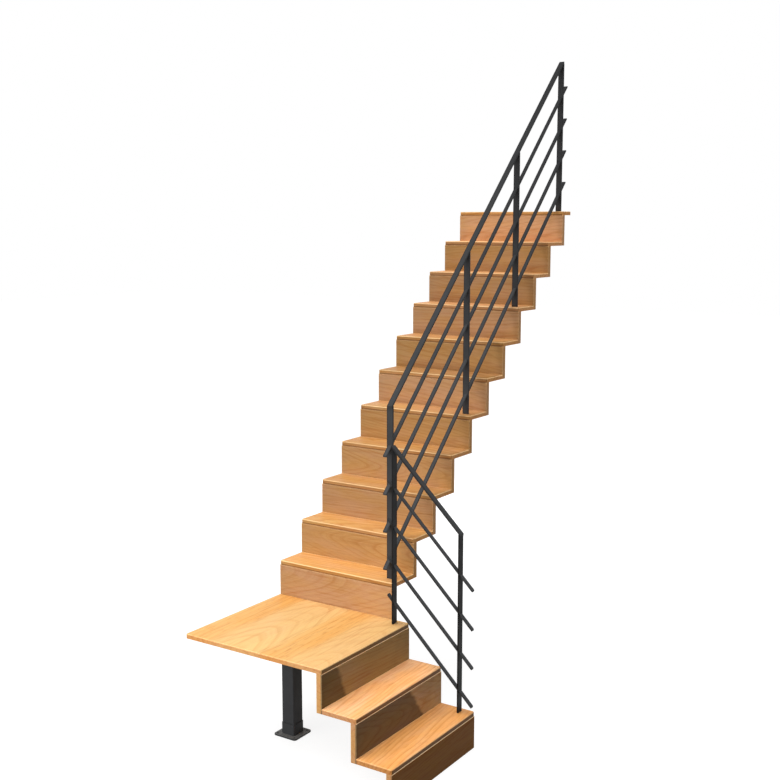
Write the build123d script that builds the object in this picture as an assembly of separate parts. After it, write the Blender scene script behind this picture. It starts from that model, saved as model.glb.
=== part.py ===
from build123d import *
import math
import os

# Quarter turn staircase: three risers up to a square landing, a turn to the right, eleven risers on.
# The flights are folded boards: each tread lies on the riser under it and butts the riser behind it.
# Millimetres. X to the right, +Y along the climb of the upper flight, +Z up.
# Origin on the floor, at the middle of the base plate under the landing's leg.

# Steps
rise = 204.0
going = 207.0
upper_width = 800.0
lower_width = 800.0
lower_risers = 3
upper_risers = 11
top_tread_depth = 120.0
landing_reach = 105.0
tread_thick = 25.0
riser_thick = 32.0

# Edges of the boards
corner_round = 12.0
edge_round = 5.0
joint_groove = 5.0
riser_edge_round = 2.5

# Leg under the landing
leg_side = 80.0
leg_wall = 4.0
leg_corner = 5.0
leg_inner_corner = 1.0
sleeve_wall = 3.0
sleeve_height = 62.0
sleeve_fit = 0.3
foot_side = 150.0
foot_thick = 8.0
foot_corner = 15.0
foot_hole = 11.0
foot_hole_spacing = 114.0
head_thick = 6.0
head_hole = 7.0

# Railings
post_width = 40.0
post_thick = 8.0
post_setback = 65.0
upper_rail_inset = 64.0
lower_rail_inset = 52.0
upper_post_steps = (1, 5, 8, 11)
lower_post_steps = (1, 3)
hand_rail_width = 35.0
hand_rail_thick = 8.0
hand_rail_height = 913.5
hand_rail_past = 3.0
bar_width = 25.0
bar_thick = 6.0
bar_count = 4
top_bar_height = 693.0
bar_spacing = 212.0
bar_fit = 0.3
upper_bar_past = (54.0, 77.0)
lower_bar_past = (77.0, 38.0)

# An edge this close to a place counts as being there
close = 0.1

# Places worked out from the sizes above
landing_level = lower_risers * rise
landing_left = -upper_width / 2
landing_right = upper_width / 2 + landing_reach
landing_front = -lower_width / 2
landing_back = lower_width / 2
lower_start = landing_right + (lower_risers - 1) * going
pitch = rise / going
slope = math.atan(pitch)

# A flight is drawn climbing along +Y from y = 0 and is then set in its place.
upper_place = Location((0, landing_back, 0))
lower_place = Location((lower_start, 0, 0), (0, 0, 90))

parts = {}


def block(x_range, y_range, z_range):
    """Square-edged block between three pairs of limits."""
    sizes = [high - low for low, high in (x_range, y_range, z_range)]
    middles = [(low + high) / 2 for low, high in (x_range, y_range, z_range)]
    return Pos(*middles) * Box(*sizes)


def upright_edges(body, x, y):
    """Vertical edges that stand at one corner of a board."""
    return [
        edge
        for edge in body.edges().filter_by(Axis.Z)
        if abs(edge.center().X - x) < close and abs(edge.center().Y - y) < close
    ]


def ease_rim(body, back):
    """Rounds the top edges of a board, all but the one at its back."""
    top = body.faces().sort_by(Axis.Z)[-1]
    rim = [edge for edge in top.edges() if edge.center().Y < back - close]
    return fillet(rim, edge_round)


def tread(width, y_range, top):
    """Board with rounded front corners and an eased top edge, square where the next riser meets it."""
    front, back = y_range
    body = block((-width / 2, width / 2), y_range, (top - tread_thick, top))
    corners = upright_edges(body, -width / 2, front) + upright_edges(body, width / 2, front)
    return ease_rim(fillet(corners, corner_round), back)


def riser(width, front, z_range):
    """Upright board with eased ends and a bevel under the tread that makes the joint line."""
    bottom, top = z_range
    back = front + riser_thick
    groove_back = (front + joint_groove, top)
    groove_front = (front, top - joint_groove)
    outline = Polygon((front, bottom), (back, bottom), (back, top), groove_back, groove_front, align=None)
    body = extrude(Plane.YZ * outline, width / 2, both=True)
    corners = upright_edges(body, -width / 2, front) + upright_edges(body, width / 2, front)
    return fillet(corners, riser_edge_round)


def flight(name, place, width, risers, level, last_depth):
    """Adds the boards of one flight that starts on a given level."""
    for step in range(1, risers + 1):
        front = (step - 1) * going
        top = level + step * rise
        foot = 0.0 if level == 0 and step == 1 else top - rise - tread_thick
        parts[f"{name}_riser_{step:02d}"] = place * riser(width, front, (foot, top - tread_thick))
        if step < risers:
            parts[f"{name}_tread_{step:02d}"] = place * tread(width, (front, front + going), top)
        elif last_depth:
            parts[f"{name}_tread_{step:02d}"] = place * tread(width, (front, front + last_depth), top)


def landing():
    """Square landing board, with the corner against the upper flight left square."""
    sides = ((landing_left, landing_right), (landing_front, landing_back))
    body = block(*sides, (landing_level - tread_thick, landing_level))
    corners = (
        upright_edges(body, landing_left, landing_front)
        + upright_edges(body, landing_right, landing_front)
        + upright_edges(body, landing_right, landing_back)
    )
    return ease_rim(fillet(corners, corner_round), landing_back)


def square_tube(side, wall, corner, z_range):
    """Square hollow section standing between two levels."""
    outline = RectangleRounded(side, side, corner) - RectangleRounded(
        side - 2 * wall, side - 2 * wall, max(corner - wall, leg_inner_corner)
    )
    return Pos(0, 0, z_range[0]) * extrude(outline, z_range[1] - z_range[0])


def flange(thick, hole, bottom):
    """Square plate with rounded corners and a hole near each corner."""
    outline = RectangleRounded(foot_side, foot_side, foot_corner)
    outline -= GridLocations(foot_hole_spacing, foot_hole_spacing, 2, 2) * Circle(hole / 2)
    return Pos(0, 0, bottom) * extrude(outline, thick)


def leg():
    """Adds the leg: foot plate, outer sleeve, hollow post and the plate under the landing."""
    underside = landing_level - tread_thick
    sleeve_inside = leg_side + 2 * sleeve_fit
    sleeve_side = sleeve_inside + 2 * sleeve_wall
    parts["leg_base_plate"] = flange(foot_thick, foot_hole, 0)
    parts["leg_sleeve"] = square_tube(
        sleeve_side, sleeve_wall, leg_corner + sleeve_wall, (foot_thick, foot_thick + sleeve_height)
    )
    parts["leg_tube"] = square_tube(leg_side, leg_wall, leg_corner, (foot_thick, underside - head_thick))
    parts["leg_head_plate"] = flange(head_thick, head_hole, underside - head_thick)


def slanted_strip(x, y_range, line, width, thick):
    """Flat bar laid along the pitch, its wide side across, its ends plumb; line gives height over y."""
    half = thick / 2 / math.cos(slope)
    (y0, y1), (z0, z1) = y_range, (line(y_range[0]), line(y_range[1]))
    outline = Polygon((y0, z0 - half), (y1, z1 - half), (y1, z1 + half), (y0, z0 + half), align=None)
    return Pos(x, 0, 0) * extrude(Plane.YZ * outline, width / 2, both=True)


def railing(name, place, x, level, steps, past):
    """Adds the posts, the infill bars and the hand rail of one flight."""

    def over_nosings(height):
        return lambda y: level + rise + pitch * y + height

    stations = [(step - 1) * going + post_setback for step in steps]
    hand_line = over_nosings(hand_rail_height)
    hand_end = post_thick / 2 + hand_rail_past
    hand_range = (stations[0] - hand_end, stations[-1] + hand_end)
    hand_rail = slanted_strip(x, hand_range, hand_line, hand_rail_width, hand_rail_thick)
    bar_range = (stations[0] - past[0], stations[-1] + past[1])
    bar_lines = [over_nosings(top_bar_height - number * bar_spacing) for number in range(bar_count)]
    bars = [slanted_strip(x, bar_range, line, bar_width, bar_thick) for line in bar_lines]
    slot_width = bar_width + 2 * bar_fit
    slot_thick = bar_thick + 2 * bar_fit
    slots = [slanted_strip(x, bar_range, line, slot_width, slot_thick) for line in bar_lines]
    drop = hand_rail_thick / 2 / math.cos(slope)
    for number, (step, y) in enumerate(zip(steps, stations), start=1):
        foot = level + step * rise
        front, back = y - post_thick / 2, y + post_thick / 2
        back_top = (back, hand_line(back) - drop)
        front_top = (front, hand_line(front) - drop)
        outline = Polygon((front, foot), (back, foot), back_top, front_top, align=None)
        post = Pos(x, 0, 0) * extrude(Plane.YZ * outline, post_width / 2, both=True)
        for slot in slots:
            post -= slot
        parts[f"{name}_railing_post_{number}"] = place * post
    parts[f"{name}_infill_bars"] = Compound([place * bar for bar in bars])
    parts[f"{name}_hand_rail"] = place * hand_rail


flight("lower", lower_place, lower_width, lower_risers, 0.0, 0.0)
parts["landing"] = landing()
flight("upper", upper_place, upper_width, upper_risers, landing_level, top_tread_depth)
leg()
lower_rail_x = lower_width / 2 - lower_rail_inset
upper_rail_x = upper_width / 2 - upper_rail_inset
railing("lower", lower_place, lower_rail_x, 0.0, lower_post_steps, lower_bar_past)
railing("upper", upper_place, upper_rail_x, landing_level, upper_post_steps, upper_bar_past)

os.makedirs("parts", exist_ok=True)
for node, shape in parts.items():
    export_step(shape, f"parts/{node}.step")
print(len(parts), "parts written")
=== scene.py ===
# %% [markdown]
# # A quarter turn staircase of folded boards
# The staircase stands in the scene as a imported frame: every tread, riser, post and rail is already
# there at its true size. This lesson lights it, puts a camera in front of it and gives each board
# and each steel part its finish.

# %% Load the frame
import math
import random

import bpy
from mathutils import Euler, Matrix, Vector


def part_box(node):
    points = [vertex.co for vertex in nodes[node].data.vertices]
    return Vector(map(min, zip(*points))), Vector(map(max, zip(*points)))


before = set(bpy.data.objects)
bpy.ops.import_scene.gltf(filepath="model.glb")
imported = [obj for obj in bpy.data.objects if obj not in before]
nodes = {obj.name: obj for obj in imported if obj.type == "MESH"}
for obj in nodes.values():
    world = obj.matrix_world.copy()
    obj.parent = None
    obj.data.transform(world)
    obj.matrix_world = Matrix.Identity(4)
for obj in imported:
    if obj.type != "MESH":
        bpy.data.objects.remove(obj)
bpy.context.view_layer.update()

print("parts in the frame:", len(nodes))

# %% [markdown]
# ## The camera
# The staircase is seen from its right front corner, a little above the middle of the upper flight,
# with a lens that is only slightly long. A camera could track a target, but then it turns when the
# target moves. This one is placed by its own numbers: where it stands, how far it is turned from
# looking along the upper flight, and how far it looks down. It isn't rolled, which would tilt the
# upright edges.

# %% Place the camera
camera_place = (3.736968, -4.6547695, 2.7822036)
turn_left = 0.5866
look_down = 0.1458
film_width = 36.0
lens = 52.672
sees_to = 200.0
camera_data = bpy.data.cameras.new("camera")
camera_data.sensor_width = film_width
camera_data.lens = lens
camera_data.clip_end = sees_to
camera = bpy.data.objects.new("camera", camera_data)
camera.location = camera_place
camera.rotation_euler = (math.pi / 2 - look_down, 0.0, turn_left)
bpy.context.scene.collection.objects.link(camera)
bpy.context.scene.camera = camera
print("camera lens", lens, "stands at", [round(c, 2) for c in camera_place])

# %% [markdown]
# ## Colours as they are written
# A view can bend bright colours towards white, as film does. The Standard view shows a lit colour
# without bending it, so the colours below can be read as the colours of the oiled wood and of the
# coated steel themselves.

# %% Choose the view
scene = bpy.context.scene
scene.view_settings.view_transform = "Standard"
print("view:", scene.view_settings.view_transform)

# %% [markdown]
# ## Helpers for nodes
# A finish is a small network. In Blender's window its nodes are added and joined by hand. In a
# script, these helpers add a node, join it to what feeds it and return the socket that comes out,
# so that a network reads from top to bottom like a recipe.

# %% Add a node and feed its sockets
def add_node(tree, kind, **settings):
    """A new node with the settings that aren't sockets, such as which sum it does."""
    node = tree.nodes.new(kind)
    for name, value in settings.items():
        setattr(node, name, value)
    return node


def feed(tree, socket, value):
    """Joins a socket to the one given, or sets it to a plain value."""
    if isinstance(value, bpy.types.NodeSocket):
        tree.links.new(value, socket)
    else:
        socket.default_value = value


def fed_node(tree, kind, values):
    """A new node whose sockets get the values that are given by name."""
    node = add_node(tree, kind)
    for name, value in values.items():
        feed(tree, node.inputs[name], value)
    return node


print("nodes can be added and fed")

# %% Reckon with numbers
def math_of(tree, operation, first, second=0.0, third=0.0, clamp=False):
    """The outcome of one sum. With clamp it stays between 0 and 1."""
    node = add_node(tree, "ShaderNodeMath", operation=operation, use_clamp=clamp)
    for socket, value in zip(node.inputs, (first, second, third)):
        feed(tree, socket, value)
    return node.outputs[0]


def product(tree, first, second):
    return math_of(tree, "MULTIPLY", first, second)


print("numbers can be reckoned with")

# %% Reckon with places
def vector_of(tree, operation, first, second=(0.0, 0.0, 0.0), scale=1.0):
    """The outcome of one sum with places."""
    node = add_node(tree, "ShaderNodeVectorMath", operation=operation)
    feed(tree, node.inputs[0], first)
    if operation == "SCALE":
        feed(tree, node.inputs["Scale"], scale)
    else:
        feed(tree, node.inputs[1], second)
    return node.outputs["Vector"]


def parts_of(tree, place):
    """The X, Y and Z of a place."""
    node = add_node(tree, "ShaderNodeSeparateXYZ")
    tree.links.new(place, node.inputs[0])
    return node.outputs


print("places can be reckoned with")

# %% Blend and mix
def smooth(tree, value, low, high, from_value=0.0, to_value=1.0):
    """from_value up to low, to_value from high on, and a soft change between them."""
    node = add_node(tree, "ShaderNodeMapRange", interpolation_type="SMOOTHSTEP")
    for socket, number in zip(node.inputs, (value, low, high, from_value, to_value)):
        feed(tree, socket, number)
    return node.outputs[0]


def mixed(tree, factor, first, second, blend="MIX"):
    """The first colour where the factor is 0 and the second where it is 1."""
    node = add_node(tree, "ShaderNodeMix", data_type="RGBA", blend_type=blend)
    factor_in, first_in, second_in, colour_out = 0, 6, 7, 2
    feed(tree, node.inputs[factor_in], factor)
    feed(tree, node.inputs[first_in], first)
    feed(tree, node.inputs[second_in], second)
    return node.outputs[colour_out]


def shaded(tree, colour, shade):
    """A colour made lighter or darker by a number."""
    grey = add_node(tree, "ShaderNodeCombineXYZ")
    for socket in grey.inputs:
        feed(tree, socket, shade)
    return mixed(tree, 1.0, colour, grey.outputs[0], "MULTIPLY")


print("colours can be mixed")

# %% Draw by chance
def noise(tree, place, scale, detail=2.0, roughness=0.5, colour=False):
    """Soft clouds: one number for each place, or three of them as a colour."""
    values = {"Vector": place, "Scale": scale, "Detail": detail, "Roughness": roughness}
    number_out, colour_out = fed_node(tree, "ShaderNodeTexNoise", values).outputs
    return colour_out if colour else number_out


def chance_of(tree, number):
    """A number from 0 to 1, as if drawn by chance, but always the same one for the same number."""
    node = add_node(tree, "ShaderNodeTexWhiteNoise", noise_dimensions="1D")
    tree.links.new(number, node.inputs["W"])
    return node.outputs["Value"]


print("chance can be used")

# %% Start a finish and end it
def new_finish(name):
    """A new material with nothing in its network."""
    finish = bpy.data.materials.new(name)
    finish.use_nodes = True
    finish.node_tree.nodes.clear()
    return finish, finish.node_tree


def show(tree, shader, kind="ShaderNodeOutputMaterial"):
    """Ends a network with what the surface shows."""
    surface = add_node(tree, kind)
    tree.links.new(shader.outputs[0], surface.inputs["Surface"])


print("finishes can be started")

# %% [markdown]
# ## The floor and the white room
# The staircase stands on a pale studio floor that runs out of sight. A real white floor would also
# throw a lot of light up into the steps, and strong lamps would be needed to make it white in the
# picture. So floor and room each have two faces. The camera sees white, on which the staircase
# still casts its soft shadow. Light that bounces meets a duller grey, so that the undersides and the
# risers that face away from the lamps stay as deep as they are on the real object.

# %% Lay the floor
floor_side = 60.0
bpy.ops.object.select_all(action="DESELECT")
bpy.ops.mesh.primitive_plane_add(size=floor_side, location=(0.0, 0.0, 0.0))
floor = bpy.context.active_object
floor.name = "studio_floor"
print("floor side", floor_side, "m")

# %% Two faces for one surface
def seen_directly(tree):
    """1 for what the camera sees straight, in a gloss or through glass, and 0 for other light."""
    path = add_node(tree, "ShaderNodeLightPath").outputs
    seen = math_of(tree, "MAXIMUM", path["Is Camera Ray"], path["Is Glossy Ray"])
    return math_of(tree, "MAXIMUM", seen, path["Is Transmission Ray"])


def two_faced(tree, hidden, seen):
    """One shader for light that bounces, another for what is seen directly."""
    switch = add_node(tree, "ShaderNodeMixShader")
    tree.links.new(seen_directly(tree), switch.inputs[0])
    tree.links.new(hidden.outputs[0], switch.inputs[1])
    tree.links.new(seen.outputs[0], switch.inputs[2])
    return switch


print("two faces ready")

# %% Paint the floor
bounce_grey = (0.08, 0.075, 0.07, 1.0)
shadow_grey = (0.24, 0.24, 0.24, 1.0)
floor_glow = 0.84
floor_finish, tree = new_finish("studio_white")
dull = fed_node(tree, "ShaderNodeBsdfDiffuse", {"Color": bounce_grey})
pale = fed_node(tree, "ShaderNodeBsdfDiffuse", {"Color": shadow_grey})
glow = fed_node(tree, "ShaderNodeEmission", {"Strength": floor_glow})
glowing = add_node(tree, "ShaderNodeAddShader")
tree.links.new(pale.outputs[0], glowing.inputs[0])
tree.links.new(glow.outputs[0], glowing.inputs[1])
show(tree, two_faced(tree, dull, glowing))
floor.data.materials.append(floor_finish)
print("floor glow", floor_glow)

# %% Make the white room around it
room_tint = (1.0, 0.98, 0.96, 1.0)
room_light = 0.12
pure_white = (1.0, 1.0, 1.0, 1.0)
white_strength = 1.0
room = bpy.data.worlds.new("white_room")
scene.world = room
room.use_nodes = True
tree = room.node_tree
tree.nodes.clear()
soft_light = fed_node(tree, "ShaderNodeBackground", {"Color": room_tint, "Strength": room_light})
backdrop = fed_node(tree, "ShaderNodeBackground", {"Color": pure_white, "Strength": white_strength})
show(tree, two_faced(tree, soft_light, backdrop), "ShaderNodeOutputWorld")
print("room light", room_light)

# %% [markdown]
# ## The lamps
# The treads are the brightest, the risers of the upper flight grow darker as it climbs, and the
# right ends of its boards are lit. One lamp can't do that alone. A high one on the left front, as
# wide as a large part of the sky, gives the treads their bright tops. A low one in front lights the
# risers and fades as the flight climbs, and a weak one over the upper flight helps its last steps.
# All are large, so the thin rails cast no hard lines on the steps.

# %% Hang the lamps in front
def lamp(name, kind, place, target, power, **settings):
    """A lamp at a place, turned to a target. Neither the camera nor a gloss shows its shape."""
    data = bpy.data.lights.new(name, kind)
    data.energy = power
    for key, value in settings.items():
        setattr(data, key, value)
    hung = bpy.data.objects.new(name, data)
    scene.collection.objects.link(hung)
    hung.location = place
    hung.visible_camera = False
    hung.visible_glossy = False
    hung.rotation_euler = (Vector(target) - Vector(place)).to_track_quat("-Z", "Y").to_euler()
    print("lamp", name, "power", power)


high_width = math.radians(60.0)
lamp("high_lamp", "SUN", (-1.4, -2.4, 10.0), (0.0, 0.0, 0.0), 3.3, angle=high_width)
lamp("front_lamp", "AREA", (-0.4, -2.1, 1.3), (0.1, 0.6, 1.0), 43.0,
     shape="RECTANGLE", size=3.2, size_y=0.8)
lamp("upper_lamp", "AREA", (0.2, 0.6, 3.9), (0.1, 2.4, 2.6), 10.5,
     shape="RECTANGLE", size=2.4, size_y=0.6)

# %% [markdown]
# Two more stand behind the staircase. One far on the right brings up the ends of the boards. One
# low on the left lights the backs of the risers and the undersides. The camera doesn't see those,
# but anyone who walks round the staircase does, and without a lamp they would be black.

# %% Hang the lamps behind
lamp("side_lamp", "AREA", (5.5, 4.6, 4.6), (0.4, 1.6, 2.0), 75.0, shape="DISK", size=3.0)
lamp("back_lamp", "AREA", (-3.6, 5.2, 1.1), (0.0, 1.2, 1.2), 120.0, shape="DISK", size=1.8)

# %% [markdown]
# ## Oiled wood
# The boards look like beech or cherry, cut flat from the log, so their year rings come out as long
# flames and arches. A picture of wood could be laid on each face, but it could not follow eight
# faces of a board round its edges, so the wood is solid: each board sits somewhere beside the middle
# of an imagined log, and a ring is drawn wherever the distance from that middle says so. The ends of
# the boards then show the same rings cut across, as real boards do.
#
# All boards share one node group for this figure. It takes a place in the log and a few numbers
# that make one board differ from the next, and gives one number for each kind of mark.

# %% The figure of the wood: what goes in and what comes out
def group_sockets(group, names, way, kind="NodeSocketFloat"):
    for name in names:
        group.interface.new_socket(name=name, in_out=way, socket_type=kind)


FIGURE_NUMBERS = ("Lean", "Step", "Strips", "Phase", "Split", "Seed")
FIGURE_MARKS = ("Ring", "Early", "Streak", "Dash", "Patch", "Hue", "Fibre", "Fleck", "Strip tone",
                "Seam")
figure = bpy.data.node_groups.new("wood_figure", "ShaderNodeTree")
group_sockets(figure, ("Place", "Middle"), "INPUT", "NodeSocketVector")
group_sockets(figure, FIGURE_NUMBERS, "INPUT")
group_sockets(figure, FIGURE_MARKS, "OUTPUT")
given = add_node(figure, "NodeGroupInput").outputs
made = add_node(figure, "NodeGroupOutput").inputs
print("wood figure takes", [socket.name for socket in given if socket.name])

# %% [markdown]
# The landing is a wide board, glued from strips. They come in pairs, a narrow one with straight
# lines and a wide one with arches, and each strip has a number that gives it its own piece of the
# log. The strips could be parts of their own, but they are planed to one surface, so all that shows
# is a change of figure and tone and a faint seam. A single board is one strip wider than itself.

# %% Strips glued side by side
across, along, deep = parts_of(figure, given["Place"])
pairs = math_of(figure, "DIVIDE", across, given["Strips"])
pairs = math_of(figure, "ADD", pairs, given["Phase"])
pair = math_of(figure, "FLOOR", pairs)
in_pair = math_of(figure, "FRACT", pairs)
flame_strip = math_of(figure, "GREATER_THAN", in_pair, given["Split"])
strip_number = math_of(figure, "MULTIPLY_ADD", pair, 2.0, flame_strip)
print("strips counted:", len(figure.nodes), "nodes")

# %% Where a point lies in its strip
both_ends = math_of(figure, "ADD", given["Split"], flame_strip)
strip_middle = math_of(figure, "MULTIPLY_ADD", both_ends, 0.5, pair)
in_strip = math_of(figure, "SUBTRACT", pairs, strip_middle)
in_strip = product(figure, in_strip, given["Strips"])
to_split = math_of(figure, "ABSOLUTE", math_of(figure, "SUBTRACT", in_pair, given["Split"]))
to_end = math_of(figure, "MINIMUM", in_pair, math_of(figure, "SUBTRACT", 1.0, in_pair))
seam_gap = product(figure, math_of(figure, "MINIMUM", to_split, to_end), given["Strips"])
print("strips placed:", len(figure.nodes), "nodes")

# %% [markdown]
# The glued seam itself is a line as thin as a hair. Beside it the tones of two strips come nearer
# to each other, because boards for one landing are sorted so that they match.

# %% Seams, and each strip's own tone and piece of the log
seam_reach = (0.0004, 0.0022)
tone_reach = (0.0, 0.045)
tone_at_seam = 0.35
seed_apart = 7.31
slide = 3.7
seam = smooth(figure, seam_gap, *seam_reach, 1.0, 0.0)
own_tone = smooth(figure, seam_gap, *tone_reach, tone_at_seam, 1.0)
off_half = math_of(figure, "SUBTRACT", flame_strip, 0.5)
strip_tone = math_of(figure, "MULTIPLY_ADD", off_half, own_tone, 0.5)
strip_seed = math_of(figure, "MULTIPLY_ADD", given["Seed"], seed_apart, strip_number)
slid = math_of(figure, "MULTIPLY_ADD", chance_of(figure, strip_seed), slide, along)
print("strips done:", len(figure.nodes), "nodes")

# %% [markdown]
# A log is never straight. A slow noise, stretched along the grain, pushes the rings about, and a
# small quick one gives them their shiver. Both are stretched because wood changes slowly along its
# fibres and quickly across them.

# %% Noise along the grain
logs_apart = (3.1, 5.7, 1.9)
noise_middle = (0.5, 0.5, 0.5)
grain_parts = (in_strip, slid, deep)
seed_shift = vector_of(figure, "SCALE", logs_apart, scale=strip_seed)


def grain_noise(scales, detail=2.0, roughness=0.5, own=True, colour=False):
    """A noise that is longer along the grain, and another one for each strip where it is its own."""
    joined = add_node(figure, "ShaderNodeCombineXYZ")
    for socket, part, scale in zip(joined.inputs, grain_parts, scales):
        figure.links.new(product(figure, part, scale), socket)
    place = joined.outputs[0]
    if own:
        place = vector_of(figure, "ADD", place, seed_shift)
    return noise(figure, place, 1.0, detail, roughness, colour)


def push_of(scales, reach, own):
    """How far the wood is pushed aside, up to about the given reach."""
    wave = grain_noise(scales, own=own, colour=True)
    both_ways = vector_of(figure, "SUBTRACT", wave, noise_middle)
    return vector_of(figure, "SCALE", both_ways, scale=reach)


slow_push = push_of((4.5, 1.2, 4.5), reach=0.075, own=True)
quick_push = push_of((38.0, 9.0, 38.0), reach=0.006, own=False)
push = parts_of(figure, vector_of(figure, "ADD", slow_push, quick_push))
print("pushes done:", len(figure.nodes), "nodes")

# %% [markdown]
# A ring is a line at one distance from the log's middle. On a board cut beside the middle, rings
# come out as straight lines. They turn into arches where the rings lean through the board, because
# the log was thicker at its foot. The narrow strips lie further out in the log and lean less, and so
# keep straight lines.

# %% How far a point is from the middle of the log
further_out = 0.45
straight_lean = 0.15
middle = parts_of(figure, given["Middle"])
sideways = math_of(figure, "ADD", in_strip, push[0])
sideways = math_of(figure, "SUBTRACT", sideways, middle[0])
straight_strip = math_of(figure, "SUBTRACT", 1.0, flame_strip)
sideways = math_of(figure, "MULTIPLY_ADD", straight_strip, further_out, sideways)
below = math_of(figure, "ADD", deep, push[2])
below = math_of(figure, "SUBTRACT", below, middle[2])
squares = math_of(figure, "ADD", product(figure, sideways, sideways), product(figure, below, below))
distance = math_of(figure, "SQRT", squares)
lean_share = math_of(figure, "MULTIPLY_ADD", flame_strip, 1.0 - straight_lean, straight_lean)
lean = product(figure, given["Lean"], lean_share)
distance = math_of(figure, "MULTIPLY_ADD", slid, lean, distance)
print("distance done:", len(figure.nodes), "nodes")

# %% [markdown]
# Each year's ring starts with a dark line that fades outwards, and ends with pale wood before the
# next line. Good and bad years draw stronger and weaker rings, so chance sets the strength of each.
# Finer rings between them keep the wood from looking drawn with a comb.

# %% Year rings
line_start = (0.0, 0.10)
pale_start = (0.35, 0.90)
pale_end = (0.93, 1.0)
weakest = 0.2


def ring_lines(tree, distance, step, fade):
    """The dark lines of the rings, which fade out at a share of the step, and the pale wood."""
    count = math_of(tree, "DIVIDE", distance, step)
    share = math_of(tree, "FRACT", count)
    line = smooth(tree, share, *line_start)
    line = product(tree, line, smooth(tree, share, line_start[1], fade, 1.0, 0.0))
    pale_wood = smooth(tree, share, *pale_start)
    pale_wood = product(tree, pale_wood, smooth(tree, share, *pale_end, 1.0, 0.0))
    year = chance_of(tree, math_of(tree, "FLOOR", count))
    strength = math_of(tree, "MULTIPLY_ADD", year, 1.0 - weakest, weakest)
    return product(tree, line, strength), product(tree, pale_wood, strength)


fine_size = 0.31
fine_share = 0.30
straight_share = 0.6
ring, early = ring_lines(figure, distance, given["Step"], fade=0.50)
fine_step = product(figure, given["Step"], fine_size)
fine_ring = ring_lines(figure, distance, fine_step, fade=0.75)[0]
ring = math_of(figure, "MULTIPLY_ADD", fine_ring, fine_share, ring)
ring_share = math_of(figure, "MULTIPLY_ADD", flame_strip, 1.0 - straight_share, straight_share)
ring = product(figure, ring, ring_share)
print("rings done:", len(figure.nodes), "nodes")

# %% [markdown]
# Between the rings there are slow bright patches, slow changes between pink and amber, streaks as
# long as an arm, dashes as long as a finger, fibres as thin as a hair, and the short dark flecks
# that beech is known by. Each is a noise of its own size. The three numbers of a size say how often
# it changes in a metre: across the strip, along the grain and through the board.

# %% Patches, streaks, dashes, fibres and flecks
dash_reach = (0.54, 0.70)
fleck_reach = (0.64, 0.74)
patch = grain_noise((3.4, 1.5, 3.4))
hue = grain_noise((11.0, 4.0, 11.0))
streak = grain_noise((62.0, 2.6, 62.0), detail=2.5, roughness=0.6)
dash = smooth(figure, grain_noise((105.0, 11.0, 105.0), roughness=0.6), *dash_reach)
fibre = grain_noise((420.0, 9.0, 420.0), detail=3.0, roughness=0.6, own=False)
fleck = smooth(figure, grain_noise((700.0, 65.0, 700.0), detail=1.0, own=False), *fleck_reach)
marks = (ring, early, streak, dash, patch, hue, fibre, fleck, strip_tone, seam)
for name, socket in zip(FIGURE_MARKS, marks):
    figure.links.new(socket, made[name])
print("wood figure:", len(figure.nodes), "nodes")

# %% [markdown]
# ## Edges and ends of a board
# Feet and hands polish a board along its upper edges, and the oil is thinnest there, so those edges
# are paler, and a painted highlight along the rounded edge makes them paler still. The sawn ends
# take the oil differently from the faces. Edge paint could be put on by hand, but there are 28
# boards. So a second group measures how far a point is from the sides of its board's own box, which
# it gets as a middle and half a size.

# %% How far a point is from a board's sides
SIDE_NAMES = ("Upright edge", "Top edge", "X side", "Y side", "Top", "Foot", "Side", "Right")
sides = bpy.data.node_groups.new("board_sides", "ShaderNodeTree")
group_sockets(sides, ("Place", "Middle", "Half size"), "INPUT", "NodeSocketVector")
group_sockets(sides, SIDE_NAMES, "OUTPUT")
given = add_node(sides, "NodeGroupInput").outputs
made = add_node(sides, "NodeGroupOutput").inputs
half_size = given["Half size"]
off_middle = vector_of(sides, "SUBTRACT", given["Place"], given["Middle"])
either_way = vector_of(sides, "ABSOLUTE", off_middle)
gap_x, gap_y, _ = parts_of(sides, vector_of(sides, "SUBTRACT", half_size, either_way))
gap_right, _, gap_top = parts_of(sides, vector_of(sides, "SUBTRACT", half_size, off_middle))
gap_foot = parts_of(sides, vector_of(sides, "ADD", half_size, off_middle))[2]
nearest_side = math_of(sides, "MINIMUM", gap_x, gap_y)
upright_edge = math_of(sides, "MAXIMUM", gap_x, gap_y)
top_edge = math_of(sides, "MAXIMUM", nearest_side, gap_top)
gaps = (upright_edge, top_edge, gap_x, gap_y, gap_top, gap_foot, nearest_side, gap_right)
for name, socket in zip(SIDE_NAMES, gaps):
    sides.links.new(socket, made[name])
print("board sides:", len(sides.nodes), "nodes")

# %% [markdown]
# ## One board's finish
# Boards of one staircase come from many planks, and no two are quite alike. So each board gets its
# own material from the same recipe: its place in the log, its tone between pink and amber, how
# bright it is, and how strong its marks are. How bright a board is comes partly from its own tone
# and partly from painted light and shade: the risers are set deeper than the lamps alone make them.
# All that is kept in a small table, the board's look.
# What most boards have in common stands in the usual look, and a row of boards names only what
# differs.

# %% The colours of the wood
TREAD_WOODS = ((0.88, 0.455, 0.210, 1.0), (0.88, 0.440, 0.135, 1.0))
RISER_WOODS = ((0.86, 0.500, 0.270, 1.0), (0.86, 0.480, 0.180, 1.0))
SHADED_WOODS = ((0.86, 0.560, 0.360, 1.0), (0.86, 0.560, 0.240, 1.0))
LOW_WOODS = ((0.87, 0.475, 0.240, 1.0), (0.87, 0.395, 0.120, 1.0))
golden_wood = (0.95, 0.600, 0.235, 1.0)
ring_wood = (0.63, 0.240, 0.058, 1.0)
# Pale colour of worn edges, which on the rounded top edges is also a painted highlight.
wear_and_highlight_wood = (0.98, 0.700, 0.370, 1.0)
strip_woods = ((0.92, 0.455, 0.115, 1.0), (0.95, 0.640, 0.290, 1.0))
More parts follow.
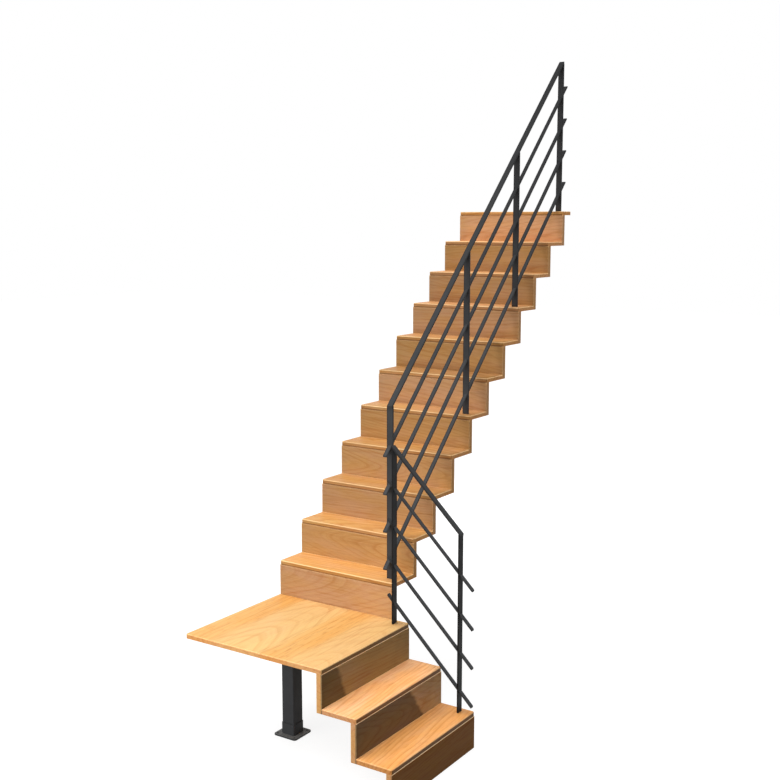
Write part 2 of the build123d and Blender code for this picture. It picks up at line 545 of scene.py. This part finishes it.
# Painted shade of the groove under the treads of the upper flight.
painted_groove_shade = (0.20, 0.085, 0.035, 1.0)
# A painted highlight: the bright line under the treads of the lower flight and the landing.
painted_highlight_strip = (1.00, 0.740, 0.450, 1.0)
print("woods from pink to amber:", TREAD_WOODS[0][:3], TREAD_WOODS[1][:3])

# %% The usual look
USUAL_LOOK = {
    "strips": 9.0,  # width of a pair of glued strips; 9 m is a single board
    "phase": 0.5,  # where the board lies in a pair
    "split": 0.0,  # share of the narrow strip in a pair
    "dashes": 0.26,  # how strong the dashes are
    "edge_wear_and_highlight": 0.85,  # how pale the worn top edges with their painted highlight are
    "oil": 0.12,  # how much the oil shines
    "painted_light_ramp": None,  # painted light: where a change starts and ends along X, and how bright both are
    "front_painted_shade": {},  # fronts darkened with painted shade
    "joint": None,  # the line along a riser's top
    "foot": None,  # the line along the foot of a tread's front
    "end_tint": (0.95, 0.88, 0.80, 1.0),  # the colour of the sawn ends, times the wood's
}
print("usual look:", list(USUAL_LOOK))

# %% [markdown]
# The grain runs along a board's long side. A Mapping node turns the board, about its own middle, to
# the log's directions: across, along and deep. The treads lie flat, the risers stand upright, and
# the two flights climb in different directions, so there are four ways to turn a board.

# %% Lay a board in the log
TURN_TO_LOG = {
    "flat, long in Y": (0.0, 0.0, 0.0),
    "flat, long in X": (0.0, 0.0, math.pi / 2),
    "upright, long in Y": (0.0, math.pi / 2, 0.0),
    "upright, long in X": (math.pi / 2, 0.0, math.pi / 2),
}


def board_groups(tree, name, look):
    """The two groups, set for one board, and the point's place in the frame."""
    low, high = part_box(name)
    centre = (low + high) / 2
    turned = TURN_TO_LOG[look["lie"]]
    where = add_node(tree, "ShaderNodeTexCoord").outputs["Object"]
    turn = add_node(tree, "ShaderNodeMapping", vector_type="POINT")
    turn.inputs["Rotation"].default_value = turned
    turn.inputs["Location"].default_value = -(Euler(turned).to_matrix() @ centre)
    tree.links.new(where, turn.inputs["Vector"])
    wood = add_node(tree, "ShaderNodeGroup", node_tree=figure)
    tree.links.new(turn.outputs[0], wood.inputs["Place"])
    for socket in ("Middle",) + FIGURE_NUMBERS:
        wood.inputs[socket].default_value = look[socket.lower()]
    board = add_node(tree, "ShaderNodeGroup", node_tree=sides)
    tree.links.new(where, board.inputs["Place"])
    board.inputs["Middle"].default_value = centre
    board.inputs["Half size"].default_value = (high - low) / 2
    return wood.outputs, board.outputs, where


print("ways to turn a board:", list(TURN_TO_LOG))

# %% [markdown]
# Colour comes in layers, as on the real board. First its own wood, between pink and amber, with the
# slow changes of hue. Then the golden flames, and over them the marks of the grain in the colour of
# the dark rings. Mixing towards a colour, and not towards black, keeps the wood warm in its lines.

# %% The wood's own colour
hue_reach = (0.3, 0.7)
hue_change = 0.4
strip_share = 0.62
flame_reach = (0.60, 0.80)
flame_widens = 0.3
weakest_flame = 0.25
narrow_flame = 0.4


def own_colour(tree, wood, look):
    """The wood between pink and amber, and on a glued board the tone of each strip."""
    varied = smooth(tree, wood["Hue"], *hue_reach, -hue_change, hue_change)
    varied = math_of(tree, "ADD", varied, look["tone"], clamp=True)
    colour = mixed(tree, varied, *look["woods"])
    if look["split"]:
        colour = mixed(tree, strip_share, colour, mixed(tree, wood["Strip tone"], *strip_woods))
    return colour


def flamed(tree, colour, wood, flame):
    """Golden patches. With a higher flame they are wider and stronger, most so in a wide strip."""
    low, high = [edge - flame_widens * flame for edge in flame_reach]
    flames = smooth(tree, wood["Patch"], low, high)
    flames = product(tree, flames, min(1.0, weakest_flame + flame))
    wide = math_of(tree, "MULTIPLY_ADD", wood["Strip tone"], 1.0 - narrow_flame, narrow_flame)
    return mixed(tree, product(tree, flames, wide), colour, golden_wood)


print("own colour ready")

# %% Rings, dashes and streaks
pale_ring_share = 0.5
fewer_dashes = 0.8
streak_reach = (0.50, 0.75)
streak_strength = 0.42


def grained(tree, colour, wood, look):
    """Draws the marks of the grain. A wide strip has fewer dashes than a narrow one."""
    rings, dashes = look["rings"], look["dashes"]
    colour = mixed(tree, product(tree, wood["Early"], pale_ring_share * rings), colour, golden_wood)
    lines = math_of(tree, "MULTIPLY", wood["Ring"], rings, clamp=True)
    colour = mixed(tree, lines, colour, ring_wood)
    if look["split"]:
        dashes = math_of(tree, "MULTIPLY_ADD", wood["Strip tone"], -fewer_dashes * dashes, dashes)
    colour = mixed(tree, product(tree, wood["Dash"], dashes), colour, ring_wood)
    streaks = smooth(tree, wood["Streak"], *streak_reach, 0.0, streak_strength)
    return mixed(tree, streaks, colour, ring_wood)


print("rings, dashes and streaks ready")

# %% The shade of the grain
fibre_shade = (0.3, 0.7, 0.94, 1.05)
streak_shade = (0.2, 0.5, 1.06, 1.0)
dark_marks = (("Fleck", -0.16), ("Seam", -0.10))


def grain_shade(tree, wood):
    """How much the fibres, pale streaks, flecks and seams lighten or darken the wood."""
    shade = smooth(tree, wood["Fibre"], *fibre_shade)
    shade = product(tree, shade, smooth(tree, wood["Streak"], *streak_shade))
    for mark, change in dark_marks:
        shade = product(tree, shade, math_of(tree, "MULTIPLY_ADD", wood[mark], change, 1.0))
    return shade


print("grain darkened by", [mark for mark, change in dark_marks])

# %% [markdown]
# The faces of a board have its brightness, and some grow paler towards one end with painted light.
# The fronts of the lower risers carry painted shade, deeper than on their other sides, and on two of
# them the painted shade is deeper still on one side of a slanting line, the edge of a painted
# shadow. A hard line would look cut out with scissors, so slow noises of the wood itself bend it a
# little.

# %% Faces with painted light along the board, and painted shade on fronts
skin = (0.003, 0.007)
# How soft the edge of the painted shadow on the lower risers is, and the noises that bend it.
painted_shade_blur = 0.016
painted_shade_waves = (("Patch", 0.05), ("Hue", 0.10))


def face_light(tree, name, where, look):
    """The brightness of the faces: a plain number, or one that changes between two places in X,
    which is painted light.
    """
    light = look["light"]
    if not look["painted_light_ramp"]:
        return light
    from_x, to_x, at_start, at_last = look["painted_light_ramp"]
    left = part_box(name)[0][0]
    place_x = parts_of(tree, where)[0]
    return smooth(tree, place_x, left + from_x, left + to_x, light * at_start, light * at_last)


def front_painted_shade(tree, colour, where, wood, board, shade_settings):
    """Paints shade on a lower riser's front. The settings are its tint, a point of the line in Y and
    Z, the line's slope, and the shade beyond it.
    """
    tint, edge_y, edge_z, slope, dark = shade_settings
    place = parts_of(tree, where)
    line = math_of(tree, "MULTIPLY_ADD", place[2], slope, place[1])
    for mark, wave in painted_shade_waves:
        line = math_of(tree, "MULTIPLY_ADD", wood[mark], wave, line)
    line_at = edge_y + slope * edge_z + sum(wave for mark, wave in painted_shade_waves) / 2
    depth = smooth(tree, line, line_at - painted_shade_blur, line_at + painted_shade_blur, dark, 1.0)
    painted_darker = mixed(tree, 1.0, colour, shaded(tree, tint, depth), "MULTIPLY")
    return mixed(tree, smooth(tree, board["Right"], *skin, 1.0, 0.0), colour, painted_darker)


print("faces and waxed fronts ready")

# %% [markdown]
# The sawn ends have a tint of their own and no brightness from the table, because the lamp on the
# right lights them well. A tread's front has painted shade, as deep in tone as the riser under it.

# %% Sawn ends, and painted shade on fronts
end_reach = (0.0006, 0.0026)
front_reach = (0.0010, 0.0030)


def end_of(tree, board, look):
    """1 on the sawn ends and 0 on the rest of the board."""
    ends = board["X side" if "long in X" in look["lie"] else "Y side"]
    return smooth(tree, ends, *end_reach, 1.0, 0.0)


def front_shaded(tree, colour, board, look):
    """Paints shade on a tread's front and back, up to its rounded top edge."""
    fronts = board["Y side" if "long in X" in look["lie"] else "X side"]
    at_front = smooth(tree, fronts, *front_reach, 1.0, 0.0)
    at_front = product(tree, at_front, smooth(tree, board["Top"], *skin))
    return shaded(tree, colour, smooth(tree, at_front, 0.0, 1.0, 1.0, look["front"]))


print("ends and fronts ready")

# %% [markdown]
# Edges wear where they are touched. A tread or the landing is paler along its upper edges, worn and
# with a painted highlight. A riser is worn only along its upright edges, because its top is under a
# tread.

# %% Worn edges with a painted highlight
upright_wear = (0.0012, 0.0045, 0.45)
top_wear_and_highlight = (0.0020, 0.0060)
wear_by_streak = (0.3, 0.7, 0.95, 0.65)


def edge_worn_and_highlit(tree, colour, wood, board, look):
    """Makes the edges pale with wear and a painted highlight, less so where a dark streak meets
    them.
    """
    if look["joint"]:
        near, far, strength = upright_wear
        worn_and_highlit = smooth(tree, board["Upright edge"], near, far, strength, 0.0)
    else:
        # Wear and a painted highlight along the top edges.
        worn_and_highlit = smooth(tree, board["Top edge"], *top_wear_and_highlight, look["edge_wear_and_highlight"], 0.0)
    worn_and_highlit = product(tree, worn_and_highlit, smooth(tree, wood["Streak"], *wear_by_streak))
    return mixed(tree, worn_and_highlit, colour, wear_and_highlight_wood)


print("worn edges reach", top_wear_and_highlight[1], "m into a tread")

# %% [markdown]
# A thin line runs under every tread. On the upper flight it is a dark one, painted shade of the
# groove, drawn on the foot of the tread's front, over the paler bevel of the riser. On the lower
# flight and under the landing it is a painted highlight: a bright strip with some metal sheen, in
# the riser's bevel and along the foot of the board on it. It could be a thin part, but it is flush
# with the boards, so a finish shows all that can be seen of it. The line stops short of the sawn
# ends.

# %% The line of the joint
line_blur = 0.0012
line_side = (0.0005, 0.0015)
line_end = 0.6


def joint_lined(tree, colour, board, at_end, look):
    """Draws the line and gives its sheen, which is None where there is none. A riser's line is
    measured down from its top, a tread's up from its foot."""
    line_colour, low_edge, high_edge, strength, sheen = look["joint"] or look["foot"]
    strength = smooth(tree, at_end, 0.0, line_end, strength, 0.0)
    height = board["Top" if look["joint"] else "Foot"]
    line = smooth(tree, height, high_edge, high_edge + line_blur, strength, 0.0)
    line = product(tree, line, smooth(tree, height, low_edge - line_blur, low_edge))
    if look["foot"]:
        line = product(tree, line, smooth(tree, board["Side"], *line_side, 1.0, 0.0))
    shine = product(tree, line, sheen) if sheen else None
    return mixed(tree, line, colour, line_colour), shine


print("joint line ready")

# %% [markdown]
# Hardwax oil leaves a dull sheen and lets the grain be felt: the dark rings and flecks lie a little
# lower than the wood between them. The sheen is weak on the shaded risers of the lower flight, where
# the white room would turn a stronger one milky.

# %% The oil
fibre_gloss = (0.3, 0.7, 0.42, 0.52)
ring_gloss = 0.08
strip_gloss = -0.15
ring_dent = -0.25
fleck_dent = -0.6
grain_feel = {"Strength": 0.12, "Distance": 0.0006}


def oiled(tree, colour, wood, oil, sheen):
    """Ends the network with the oil over a colour. sheen is 1 on a bright strip of painted
    highlight.
    """
    gloss = smooth(tree, wood["Fibre"], *fibre_gloss)
    gloss = math_of(tree, "MULTIPLY_ADD", wood["Ring"], ring_gloss, gloss)
    height = math_of(tree, "MULTIPLY_ADD", wood["Ring"], ring_dent, wood["Fibre"])
    height = math_of(tree, "MULTIPLY_ADD", wood["Fleck"], fleck_dent, height)
    values = {"Base Color": colour, "Specular IOR Level": oil}
    if sheen:
        gloss = math_of(tree, "MULTIPLY_ADD", sheen, strip_gloss, gloss)
        values["Metallic"] = sheen
    values["Roughness"] = gloss
    values["Normal"] = fed_node(tree, "ShaderNodeBump", {**grain_feel, "Height": height}).outputs[0]
    show(tree, fed_node(tree, "ShaderNodeBsdfPrincipled", values))


print("oil ready")

# %% [markdown]
# The whole recipe is then a page long: lay the board in the log, colour it, draw its marks, shade
# its faces, treat its ends, front and edges, draw the joint, and oil it.

# %% The recipe for a board
def board_finish(name, look):
    """The material of one board."""
    look = {**USUAL_LOOK, **look}
    finish, tree = new_finish("oiled_wood_" + name)
    wood, board, where = board_groups(tree, name, look)
    colour = own_colour(tree, wood, look)
    colour = flamed(tree, colour, wood, look["flame"])
    colour = grained(tree, colour, wood, look)
    # Painted shade on the front of a lower riser.
    if name in look["front_painted_shade"]:
        colour = front_painted_shade(tree, colour, where, wood, board, look["front_painted_shade"][name])
    at_end = end_of(tree, board, look)
    face = smooth(tree, at_end, 0.0, 1.0, face_light(tree, name, where, look), 1.0)
    end_colour = mixed(tree, 1.0, colour, look["end_tint"], "MULTIPLY")
    colour = mixed(tree, at_end, colour, end_colour)
    colour = shaded(tree, colour, product(tree, grain_shade(tree, wood), face))
    if look["foot"]:
        # Painted shade on a tread's front and back.
        colour = front_shaded(tree, colour, board, look)
    colour = edge_worn_and_highlit(tree, colour, wood, board, look)
    colour, sheen = joint_lined(tree, colour, board, at_end, look)
    oiled(tree, colour, wood, look["oil"], sheen)
    return finish


print("board recipe ready")

# %% Put a finish on a part
def dress(name, finish):
    """Puts a finish in every material slot of a part of the frame."""
    part = nodes[name]
    if not part.material_slots:
        part.data.materials.append(finish)
    for slot in part.material_slots:
        slot.material = finish


print("parts can be dressed")

# %% [markdown]
# ## The landing
# The landing is glued from strips, with two wide arched ones, and shows the strongest flame. Its
# joint is a painted highlight, a bright strip along the foot of its front. A line of a joint is
# given by its colour, the heights between which it lies, its strength and its sheen.

# %% Finish the landing
# The joint line of the lower flight and landing is a painted highlight with some metal sheen.
LOWER_HIGHLIGHT_JOINT = (painted_highlight_strip, -0.01, 0.0030, 0.95, 0.70)
LOWER_HIGHLIGHT_FOOT = (painted_highlight_strip, -0.01, 0.0008, 0.95, 0.70)
landing_look = {
    "lie": "flat, long in Y",
    "woods": TREAD_WOODS,
    "tone": 1.0,
    "light": 0.77,
    "flame": 0.8,
    "seed": 3.0,
    "middle": (0.0, 0.0, -0.16),
    "lean": 0.22,
    "step": 0.034,
    "strips": 0.505,
    "phase": 0.886,
    "split": 0.356,
    "rings": 0.34,
    "dashes": 0.55,
    "edge_wear_and_highlight": 0.3,
    # painted shade on the fronts
    "front": 0.3,
    "foot": LOWER_HIGHLIGHT_FOOT,
    "end_tint": (0.74, 0.62, 0.61, 1.0),
}
dress("landing", board_finish("landing", landing_look))
print("finished the landing, in pairs of strips", landing_look["strips"], "m wide")

# %% [markdown]
# ## The flights
# Treads and risers are single boards, some amber and some pinker. Where each was cut from the log is
# left to chance, with a fixed start, so that the staircase comes out the same each time. Chance
# doesn't always deal a good hand, so boards whose figure can be made out well get theirs from a
# table: the middle of the log, its lean, and the step from ring to ring.

# %% What chance draws, and the boards that it leaves alone
chooser = random.Random(11)
seeds = (0.0, 60.0)
leans = (0.04, 0.12)
depths = (0.08, 0.2)
step_spread = (0.8, 1.3)
either_side = (-1, 1)
FIGURES = {
    "upper_riser_01": ((0.09, 0.0, -0.08), 0.30, 0.030),
    "upper_riser_02": ((0.04, 0.0, -0.04), -0.20, 0.019),
    "upper_riser_03": ((0.30, 0.0, -0.15), 0.03, 0.014),
    "upper_riser_04": ((0.00, 0.0, -0.05), 0.20, 0.018),
    "upper_riser_05": ((0.25, 0.0, -0.10), -0.12, 0.018),
    "lower_tread_01": ((0.16, 0.0, -0.08), -0.09, 0.021),
    "lower_riser_02": ((0.00, 0.0, -0.06), 0.25, 0.027),
    "lower_riser_03": ((0.25, 0.0, -0.10), -0.06, 0.018),
}
print("boards with a figure of their own:", len(FIGURES))

# %% Draw a row of boards from the log
def finish_row(kind, tones, row_look, aside, ring_step):
    """Dresses a row of boards from the bottom up. tones gives the tone and brightness of each, and
    may add the painted shade of its front. aside says how far to the side of a board the middle of
    its log may be."""
    for number, (tone, light, *front) in enumerate(tones, 1):
        name = f"{kind}_{number:02d}"
        seed = chooser.uniform(*seeds)
        lean = chooser.uniform(*leans) * chooser.choice(either_side)
        to_side = chooser.uniform(*aside) * chooser.choice(either_side)
        middle = (to_side, 0.0, -chooser.uniform(*depths))
        step = ring_step * chooser.uniform(*step_spread)
        middle, lean, step = FIGURES.get(name, (middle, lean, step))
        look = {**row_look, "tone": tone, "light": light}
        look.update({"seed": seed, "middle": middle, "lean": lean, "step": step})
        if front:
            look["front"] = front[0]
        dress(name, board_finish(name, look))
    print("finished", kind, len(tones))


print("rows can be finished")

# %% [markdown]
# The tables below give each board, from the bottom up, its tone (0 pink, 1 amber) and its
# brightness, which is partly painted light and shade. The risers of the upper flight have painted
# light towards the railing, against the shadow of the bars, and the bevel along their top is drawn
# pale.

# %% Finish the risers of the upper flight
# Tone and brightness of each riser; the brightness is partly painted shade.
UPPER_RISERS = ((0.15, 0.61), (1.00, 0.64), (0.50, 0.62), (0.70, 0.67), (1.00, 0.64), (0.10, 0.71),
                (0.80, 0.61), (0.20, 0.64), (0.50, 0.57), (0.80, 0.58), (0.10, 0.84))
upper_riser_look = {
    "lie": "upright, long in X",
    "woods": RISER_WOODS,
    "flame": 0.1,
    "rings": 0.40,
    # painted light towards the railing, against the shadow of the bars
    "painted_light_ramp": (0.40, 0.72, 0.97, 1.13),
    "joint": (wear_and_highlight_wood, -0.01, 0.0040, 0.40, 0.0),
    "end_tint": (0.80, 0.74, 0.66, 1.0),
}
finish_row("upper_riser", UPPER_RISERS, upper_riser_look, aside=(0.02, 0.22), ring_step=0.016)

# %% [markdown]
# The treads are brighter than the risers, but their fronts carry painted shade nearly as deep as the
# risers under them, so each front's share of its tread's brightness is worked out from the two
# tables.

# %% Finish the treads of the upper flight
# Tone and brightness of each tread; the brightness is partly painted light and shade.
UPPER_TREADS = ((0.80, 0.84), (0.70, 0.77), (0.70, 0.65), (0.60, 0.63), (0.40, 0.65), (0.50, 0.49),
                (0.50, 0.63), (0.00, 0.71), (0.00, 0.78), (0.00, 0.96), (1.00, 0.88))
# The painted shade of a tread's front, as a share of the riser's brightness.
front_of_riser = 0.97
upper_tread_look = {
    "lie": "flat, long in X",
    "woods": TREAD_WOODS,
    "flame": 0.25,
    "rings": 0.60,
    "dashes": 0.45,
    # the dark line at the foot of the front is painted shade of the groove
    "foot": (painted_groove_shade, 0.0020, 0.0050, 0.85, 0.0),
}
with_fronts = [
    (tone, light, front_of_riser * riser_light / light)
    for (tone, light), (_, riser_light) in zip(UPPER_TREADS, UPPER_RISERS)
]
finish_row("upper_tread", with_fronts, upper_tread_look, aside=(0.05, 0.2), ring_step=0.020)

# %% [markdown]
# The risers of the lower flight face right, away from the lamps in front. Their woods are a paler,
# greyer copy of the wood for faces in shade, with little oil, and their fronts carry painted shade.

# %% Finish the risers of the lower flight
LOWER_RISERS = ((0.50, 0.95), (0.50, 0.95), (1.00, 0.95))
# Painted shade on the lower risers' fronts: tint, a point of the shadow's edge in Y and Z, its
# slope, and the shade beyond it.
PAINTED_SHADE_FRONTS = {
    "lower_riser_01": ((0.375, 0.255, 0.120, 1.0), 0.0, 0.1, 1.0, 1.0),
    "lower_riser_02": ((0.70, 0.75, 0.84, 1.0), 0.163, 0.290, 0.75, 0.37),
    "lower_riser_03": ((0.51, 0.55, 0.57, 1.0), -0.238, 0.490, 0.52, 0.43),
}
lower_riser_look = {
    "lie": "upright, long in Y",
    "woods": SHADED_WOODS,
    "flame": 0.1,
    "rings": 0.35,
    "oil": 0.04,
    "front_painted_shade": PAINTED_SHADE_FRONTS,
    "joint": LOWER_HIGHLIGHT_JOINT,
    "end_tint": (0.78, 0.65, 0.55, 1.0),
}
finish_row("lower_riser", LOWER_RISERS, lower_riser_look, aside=(0.1, 0.3), ring_step=0.016)

# %% [markdown]
# The treads of the lower flight are the warmest boards of the staircase. Beside their left end,
# against the next riser, painted light lifts the shade that falls there.

# %% Finish the treads of the lower flight
# Tone and brightness of each tread; the brightness is partly painted light and shade.
LOWER_TREADS = ((0.90, 0.88), (0.25, 1.06))
lower_tread_look = {
    "lie": "flat, long in Y",
    "woods": LOW_WOODS,
    "flame": 0.05,
    "rings": 0.56,
    "dashes": 0.42,
    "edge_wear_and_highlight": 0.3,
    # painted shade on the fronts
    "front": 0.3,
    # painted light beside the left end, against the shade of the next riser
    "painted_light_ramp": (0.0, 0.09, 1.10, 1.0),
    "foot": LOWER_HIGHLIGHT_FOOT,
    "end_tint": (0.77, 0.71, 0.68, 1.0),
}
finish_row("lower_tread", LOWER_TREADS, lower_tread_look, aside=(0.05, 0.2), ring_step=0.020)

# %% [markdown]
# ## Coated steel
# The leg and the railings are steel with a dark grey powder coat: fine grains that melt into a skin
# with a slight orange peel, matt enough to hide the lamps. A plain grey would look like plastic. Two
# noises make the coat instead, one for the peel and one for slow changes where it lies thicker.

# %% The coat itself
COATS = ((0.040, 0.041, 0.043), (0.055, 0.057, 0.060), (0.075, 0.078, 0.082))
peel_size = 900.0
cloud_size = 9.0
thin_to_thick = (0.3, 0.7)
grain_share = (0.35, 0.75, 0.0, 0.35)
matt = (0.52, 0.66)
peel_feel = {"Strength": 0.15, "Distance": 0.0004}
coat_gloss = 0.15


def coat_colours(tree, where, light):
    """The coat's colour, its palest grain, and the two noises that it is made of."""
    peel = noise(tree, where, peel_size)
    cloud = noise(tree, where, cloud_size, detail=3.0, roughness=0.55)
    thin, thick, grain = [tuple(light * part for part in coat) + (1.0,) for coat in COATS]
    colour = mixed(tree, smooth(tree, cloud, *thin_to_thick), thin, thick)
    colour = mixed(tree, smooth(tree, peel, *grain_share), colour, grain)
    return colour, grain, peel, cloud


def coated(tree, colour, peel, cloud):
    """Ends the network with the coat's skin over a colour."""
    bump = fed_node(tree, "ShaderNodeBump", {**peel_feel, "Height": peel})
    roughness = smooth(tree, cloud, *thin_to_thick, *matt)
    values = {"Base Color": colour, "Roughness": roughness, "Normal": bump.outputs[0]}
    values["Specular IOR Level"] = coat_gloss
    show(tree, fed_node(tree, "ShaderNodeBsdfPrincipled", values))


print("coat ready")

# %% [markdown]
# Along the long sides of a flat bar the coat has painted shade, and the very edge is rubbed a little
# paler. The long bars and the hand rail of the upper flight also get painted shade as they climb
# away from the low front lamp. The leg's base plate holds some dust on its level top, with painted
# light on it as well.

# %% Bars with painted edge shade, and dust with painted light
# Painted shade along the long sides of a flat bar.
edge_shade_reach = (0.006, 0.001)
rubbed_reach = (0.0012, 0.0002)
painted_edge_shade = 0.55
rubbed_pale = 0.5
# Dust and painted light on faces that look up.
dust_and_top_light_grey = (0.24, 0.235, 0.225, 1.0)
dust_size = 60.0
dust_thins = (0.2, 0.7, 0.7, 1.0)
level = (0.6, 0.95)


def bar_edges(tree, colour, grain, cloud, place, bar_side):
    """bar_side is the axis across a flat bar, its middle and half its width."""
    axis, bar_middle, half = bar_side
    off = math_of(tree, "ABSOLUTE", math_of(tree, "SUBTRACT", place[axis], bar_middle))
    # Painted shade along the bar's sides.
    edge_shade = smooth(tree, off, half - edge_shade_reach[0], half - edge_shade_reach[1], 1.0, painted_edge_shade)
    rubbed = smooth(tree, off, half - rubbed_reach[0], half - rubbed_reach[1], 0.0, rubbed_pale)
    return mixed(tree, product(tree, rubbed, cloud), shaded(tree, colour, edge_shade), grain)


def dusted_and_top_lit(tree, colour, where, top_dust_and_light):
    """Dust and painted light on the faces that look up, thinner here and there."""
    normal = add_node(tree, "ShaderNodeNewGeometry").outputs["Normal"]
    lying = smooth(tree, parts_of(tree, normal)[2], *level, 0.0, top_dust_and_light)
    specks = noise(tree, where, dust_size, detail=3.0, roughness=0.6)
    thinner = smooth(tree, specks, *dust_thins)
    return mixed(tree, product(tree, lying, thinner), colour, dust_and_top_light_grey)


print("bar edges and dust ready")

# %% The recipe for a steel part
def coat_finish(name, light, bar_side=None, top_dust_and_light=0.0, climb=None):
    """The material of one steel part. climb is two heights and the shade at the upper one."""
    coat, tree = new_finish("coated_steel_" + name)
    where = add_node(tree, "ShaderNodeTexCoord").outputs["Object"]
    colour, grain, peel, cloud = coat_colours(tree, where, light)
    if bar_side:
        place = parts_of(tree, where)
        colour = bar_edges(tree, colour, grain, cloud, place, bar_side)
        if climb:
            # Painted shade as the bar climbs away from the low front lamp.
            low, high, at_high = climb
            colour = shaded(tree, colour, smooth(tree, place[2], low, high, 1.0, at_high))
    if top_dust_and_light:
        colour = dusted_and_top_lit(tree, colour, where, top_dust_and_light)
    coated(tree, colour, peel, cloud)
    return coat


print("coat recipe ready")

# %% [markdown]
# The leg's parts share one coat, apart from the base plate, whose level top has dust and painted
# light. The parts of the railings get one each, with the brightness that the table gives, which
# paints light and shade on them. The posts of the lower flight are the darkest, because they stand
# edge on and in the shade.

# %% Coat the leg
leg_light = 0.99
plate_light = 1.02
# Dust and painted light on the base plate's top.
plate_dust_and_top_light = 0.6
leg_coat = coat_finish("leg", leg_light)
for name in ("leg_sleeve", "leg_tube", "leg_head_plate"):
    dress(name, leg_coat)
dress("leg_base_plate", coat_finish("base_plate", plate_light, top_dust_and_light=plate_dust_and_top_light))
print("leg coated, dust on the base plate", plate_dust_and_top_light)

# %% Coat the railings
usual_light = 0.96
# Brightness of each railing part: painted light and shade.
BAR_LIGHTS = {
    "lower_railing_post_1": 0.18,
    "lower_railing_post_2": 0.26,
    "lower_infill_bars": 1.0,
    "lower_hand_rail": 0.67,
    "upper_railing_post_1": 1.06,
    "upper_railing_post_2": 1.27,
    "upper_infill_bars": 1.10,
    "upper_hand_rail": 0.93,
}
CLIMBS = {"upper_infill_bars": (1.7, 3.3, 0.45), "upper_hand_rail": (1.6, 3.6, 0.38)}
rail_parts = [n for n in nodes if "railing" in n or "infill" in n or "hand_rail" in n]
for name in rail_parts:
    low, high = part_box(name)
    axis = 1 if name.startswith("lower") else 0
    bar_side = (axis, (low[axis] + high[axis]) / 2, (high[axis] - low[axis]) / 2)
    light = BAR_LIGHTS.get(name, usual_light)
    dress(name, coat_finish(name, light, bar_side, climb=CLIMBS.get(name)))
print("coated railing parts:", len(rail_parts))
